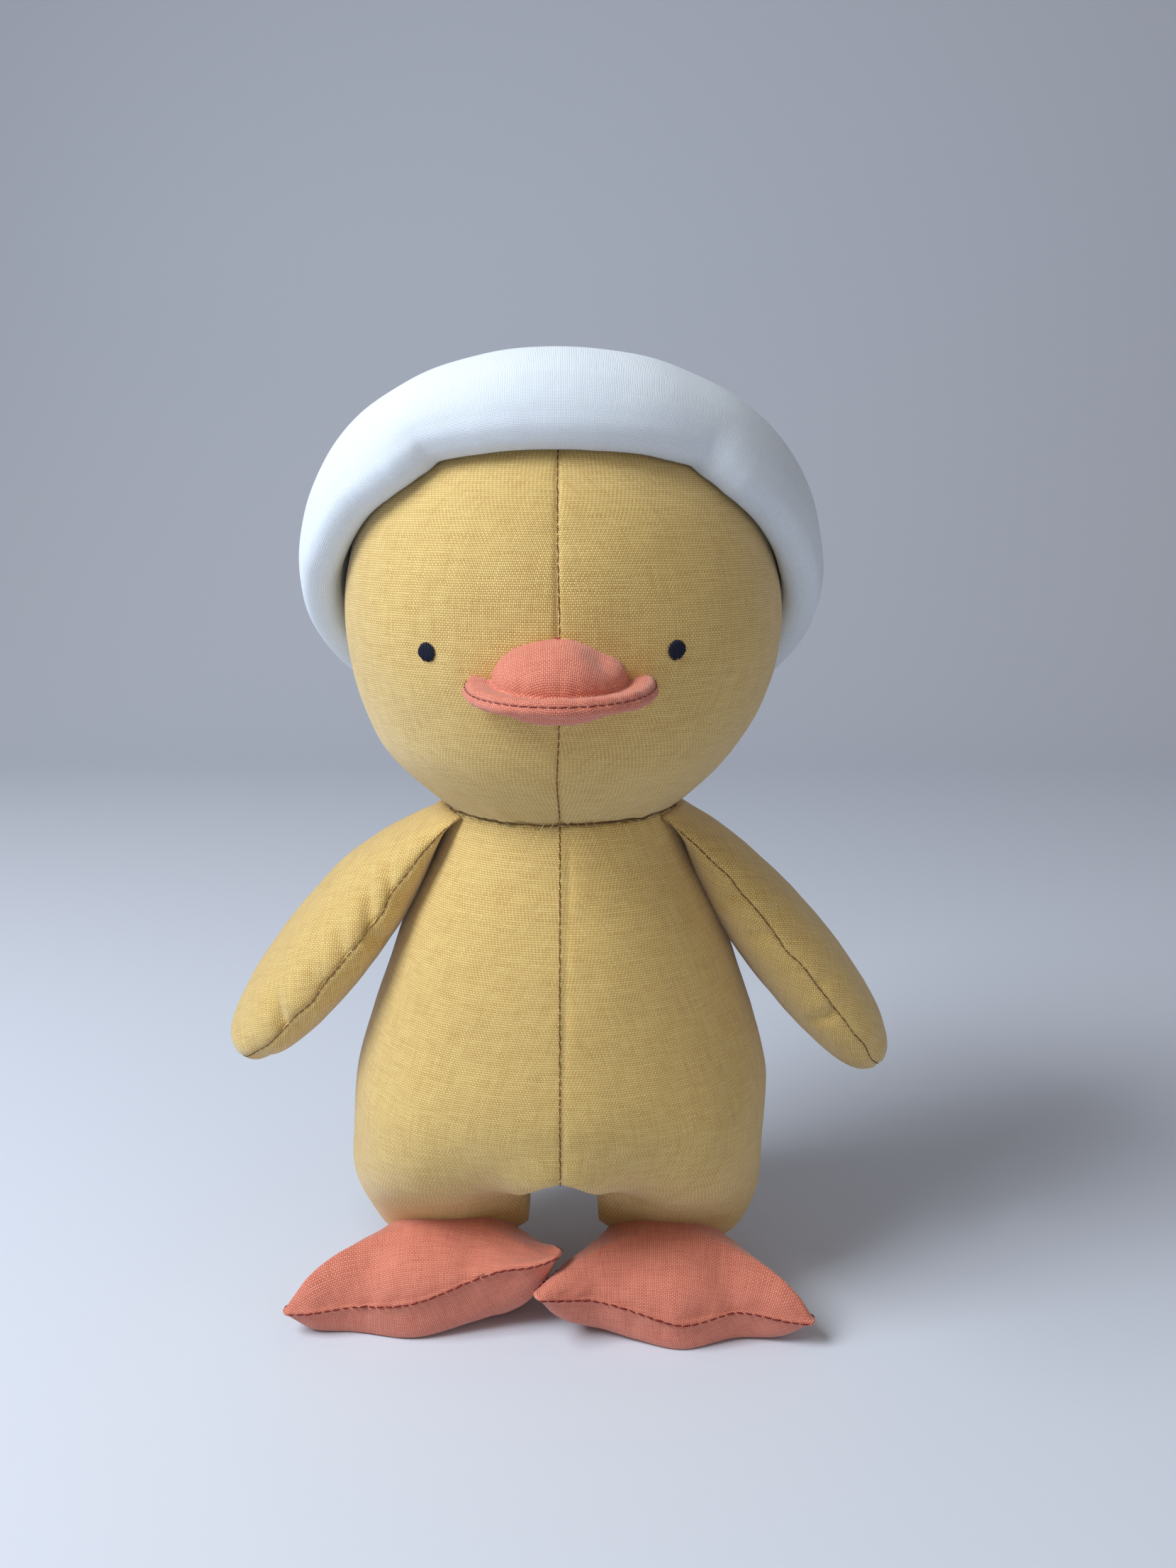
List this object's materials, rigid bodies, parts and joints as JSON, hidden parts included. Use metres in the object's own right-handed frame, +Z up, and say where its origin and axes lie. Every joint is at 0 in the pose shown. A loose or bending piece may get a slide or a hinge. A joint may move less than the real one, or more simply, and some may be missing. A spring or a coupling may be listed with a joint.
{
  "type": "plush duck",
  "caption": "Standing sewn-cloth duck toy with stuffed body, turning head, hanging wings, webbed feet, a padded bill and a lift-off hat with a turned-up brim.",
  "frame": {"origin": "on the surface that the soles stand on, under the middle of the neck", "axes": "+Z up, -Y is where the duck faces, +X is the duck's own left"},
  "size_m": [0.178, 0.1327, 0.2416],
  "materials": {
    "yellow_cloth": "plain-woven mustard yellow cotton",
    "coral_cloth": "plain-woven coral cotton",
    "white_cloth": "plain-woven white cotton",
    "stuffing": "loose polyester or wool stuffing",
    "eye_thread": "navy satin-stitched thread"
  },
  "bodies": {
    "body": {"body_panel_left": "yellow_cloth", "body_panel_right": "yellow_cloth", "body_stuffing": "stuffing", "leg_cover_left": "yellow_cloth", "leg_cover_right": "yellow_cloth", "leg_stuffing_left": "stuffing", "leg_stuffing_right": "stuffing"},
    "neck": {"neck_stuffing": "stuffing"},
    "head": {"head_panel_left": "yellow_cloth", "head_panel_right": "yellow_cloth", "head_stuffing": "stuffing", "bill_upper": "coral_cloth", "bill_lower": "coral_cloth", "bill_stuffing": "stuffing", "eye_left": "eye_thread", "eye_right": "eye_thread"},
    "hat": {"hat_side_band": "white_cloth", "hat_crown": "white_cloth", "hat_brim": "white_cloth"},
    "wing_left": {"wing_outer_left": "yellow_cloth", "wing_inner_left": "yellow_cloth", "wing_stuffing_left": "stuffing"},
    "wing_right": {"wing_outer_right": "yellow_cloth", "wing_inner_right": "yellow_cloth", "wing_stuffing_right": "stuffing"},
    "foot_left": {"foot_top_left": "coral_cloth", "foot_sole_left": "coral_cloth", "foot_stuffing_left": "stuffing"},
    "foot_right": {"foot_top_right": "coral_cloth", "foot_sole_right": "coral_cloth", "foot_stuffing_right": "stuffing"}
  },
  "joints": [
    {"name": "neck_turn", "type": "hinge", "parent": "body", "child": "neck", "pos_m": [0, 0, 0.1185], "axis": [0, 0, 1], "range_deg": [-20, 20], "stiffness_Nm_per_rad": 0.05},
    {"name": "head_nod", "type": "hinge", "parent": "neck", "child": "head", "pos_m": [0, 0, 0.1185], "axis": [1, 0, 0], "range_deg": [-8, 8], "stiffness_Nm_per_rad": 1},
    {"name": "hat_lift", "type": "slide", "parent": "head", "child": "hat", "axis": [0, 0.6691, 0.7431], "range_m": [0, 0.08]},
    {"name": "wing_left_raise", "type": "hinge", "parent": "body", "child": "wing_left", "pos_m": [0.03342, 0, 0.1285], "axis": [0, -1, 0], "range_deg": [0, 50], "stiffness_Nm_per_rad": 0.02},
    {"name": "wing_right_raise", "type": "hinge", "parent": "body", "child": "wing_right", "pos_m": [-0.03342, 0, 0.1285], "axis": [0, 1, 0], "range_deg": [0, 50], "stiffness_Nm_per_rad": 0.02},
    {"name": "ankle_left_tilt", "type": "hinge", "parent": "body", "child": "foot_left", "pos_m": [0.031, 0, 0.026], "axis": [1, 0, 0], "range_deg": [-10, 10], "stiffness_Nm_per_rad": 1.5},
    {"name": "ankle_right_tilt", "type": "hinge", "parent": "body", "child": "foot_right", "pos_m": [-0.031, 0, 0.026], "axis": [1, 0, 0], "range_deg": [-10, 10], "stiffness_Nm_per_rad": 1.5}
  ]
}
